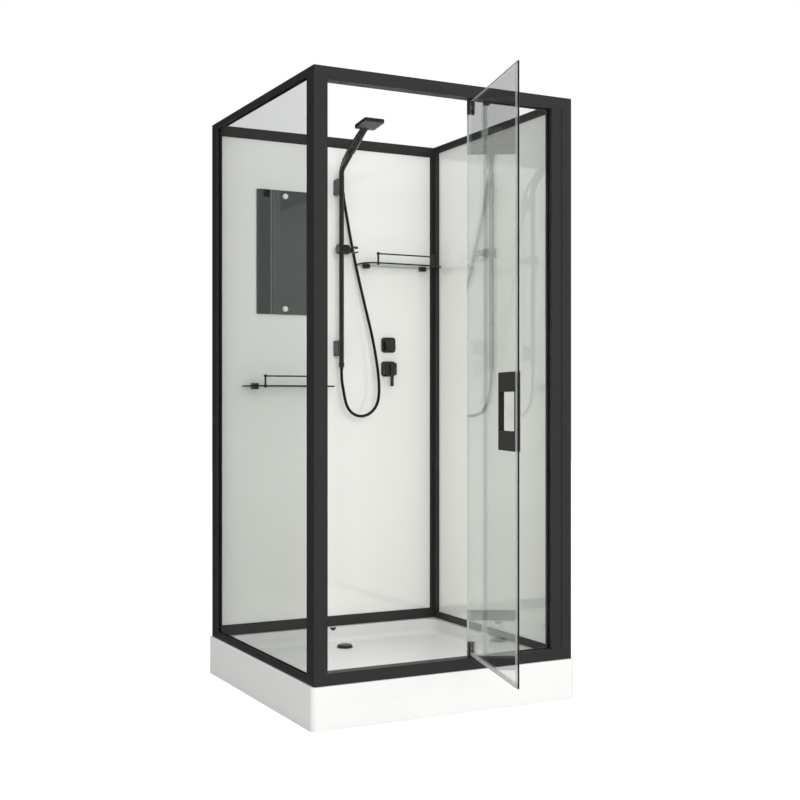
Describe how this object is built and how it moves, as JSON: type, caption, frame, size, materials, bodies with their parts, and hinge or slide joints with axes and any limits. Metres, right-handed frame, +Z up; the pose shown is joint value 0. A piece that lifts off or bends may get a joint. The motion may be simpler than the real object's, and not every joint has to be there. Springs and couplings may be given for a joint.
{
  "type": "shower cabin",
  "caption": "Square corner shower cabin with a white tray, black frame, glass walls, pivot door, mirror, glass shelves, slide bar, hand shower and mixer.",
  "frame": {"origin": "centre of the tray's footprint on the floor", "axes": "+X to the right seen from the door, +Y to the back wall, +Z up"},
  "size_m": [1, 1.4959, 2.1105],
  "materials": {
    "white_acrylic": "gloss",
    "black_aluminium": "matt powder coat",
    "clear_glass": "polished",
    "white_glass": "white, polished",
    "black_hardware": "matt black",
    "black_gloss": "satin black",
    "black_rubber": "matt",
    "clear_seal": "clear",
    "black_seal": "matt",
    "mirror_silver": "silvered",
    "steel": "zinc plated",
    "stainless": "brushed",
    "grey_plastic": "matt",
    "board": "chipboard",
    "brass": "raw",
    "nozzle_rubber": "matt"
  },
  "bodies": {
    "cabin": {"tray": "white_acrylic", "base_board": "board", "support_runners": "steel", "support_crossbars": "steel", "foot_screws": "steel", "foot_pads": "black_seal", "waste_flange": "stainless", "waste_gasket": "black_rubber", "waste_trap": "grey_plastic", "overflow_cover": "black_hardware", "front_posts": "black_aluminium", "back_posts": "black_aluminium", "fixed_stile": "black_aluminium", "top_rails": "black_aluminium", "bottom_rails": "black_aluminium", "left_glass": "clear_glass", "right_panel": "white_glass", "back_panel": "white_glass", "fixed_glass": "clear_glass", "pane_gaskets": "black_rubber", "fixed_edge_seal": "clear_seal", "rail_inserts": "black_aluminium", "post_magnet_strip": "black_seal", "pivot_bushes": "black_seal", "mirror": "mirror_silver", "mirror_caps": "stainless", "wall_screws": "stainless", "shelf_panes": "clear_glass", "shelf_clips": "black_hardware", "gallery_rails": "black_hardware", "slide_bar": "black_hardware", "bar_brackets": "black_hardware", "holder_arm": "black_hardware", "hose_nuts": "black_hardware", "shower_hose": "black_gloss", "valve_plates": "black_hardware", "mixer_block": "black_hardware", "valve_bodies": "brass", "feed_line": "brass"},
    "door": {"door_glass": "clear_glass", "hinge_blocks": "black_hardware", "hinge_pins": "stainless", "handle_outer": "black_hardware", "handle_inner": "black_hardware", "door_edge_profile": "clear_seal", "door_magnet_strip": "black_seal", "door_sweep": "clear_seal"},
    "mixer_head": {"mixer_turner": "black_hardware", "lever_pin": "stainless"},
    "lever": {"mixer_lever": "black_hardware"},
    "diverter": {"diverter_knob": "black_hardware"},
    "slider": {"slider_body": "black_gloss"},
    "clamp_knob": {"slider_knob": "black_hardware"},
    "slider_holder": {"slider_fork": "black_gloss"},
    "hand_shower": {"hand_shower_body": "black_gloss", "hand_shower_ring": "black_hardware", "shower_face": "black_gloss", "shower_nozzles": "nozzle_rubber"},
    "drain_lid": {"drain_cover": "black_hardware"}
  },
  "joints": [
    {"name": "door_swing", "type": "hinge", "parent": "cabin", "child": "door", "pos_m": [0.094, -0.47, 1.1185], "axis": [0, 0, 1], "range_deg": [-75, 15]},
    {"name": "mixer_temperature", "type": "hinge", "parent": "cabin", "child": "mixer_head", "pos_m": [0.2595, 0.4462, 1.174], "axis": [0, 1, 0], "range_deg": [-45, 45]},
    {"name": "mixer_flow", "type": "hinge", "parent": "mixer_head", "child": "lever", "pos_m": [0.2595, 0.4394, 1.1895], "axis": [-1, 0, 0], "range_deg": [0, 25]},
    {"name": "diverter_turn", "type": "hinge", "parent": "cabin", "child": "diverter", "pos_m": [0.2595, 0.4692, 1.272], "axis": [0, 1, 0], "range_deg": [-31, 59]},
    {"name": "slider_height", "type": "slide", "parent": "cabin", "child": "slider", "axis": [0, 0, 1], "range_m": [-0.335, 0.195]},
    {"name": "slider_tilt", "type": "hinge", "parent": "slider", "child": "slider_holder", "pos_m": [0.0623, 0.42, 1.646], "axis": [1, 0, 0], "range_deg": [-30, 60]},
    {"name": "slider_clamp", "type": "hinge", "parent": "slider", "child": "clamp_knob", "pos_m": [0.0122, 0.42, 1.646], "axis": [1, 0, 0], "range_deg": [0, 180]},
    {"name": "hand_shower_turn", "type": "hinge", "parent": "cabin", "child": "hand_shower", "pos_m": [0.029, 0.342, 2.025], "axis": [0, 0.8862, -0.4633], "range_deg": [-40, 40]},
    {"name": "drain_lid_lift", "type": "slide", "parent": "cabin", "child": "drain_lid", "axis": [0, 0, 1], "range_m": [0, 0.03]}
  ]
}
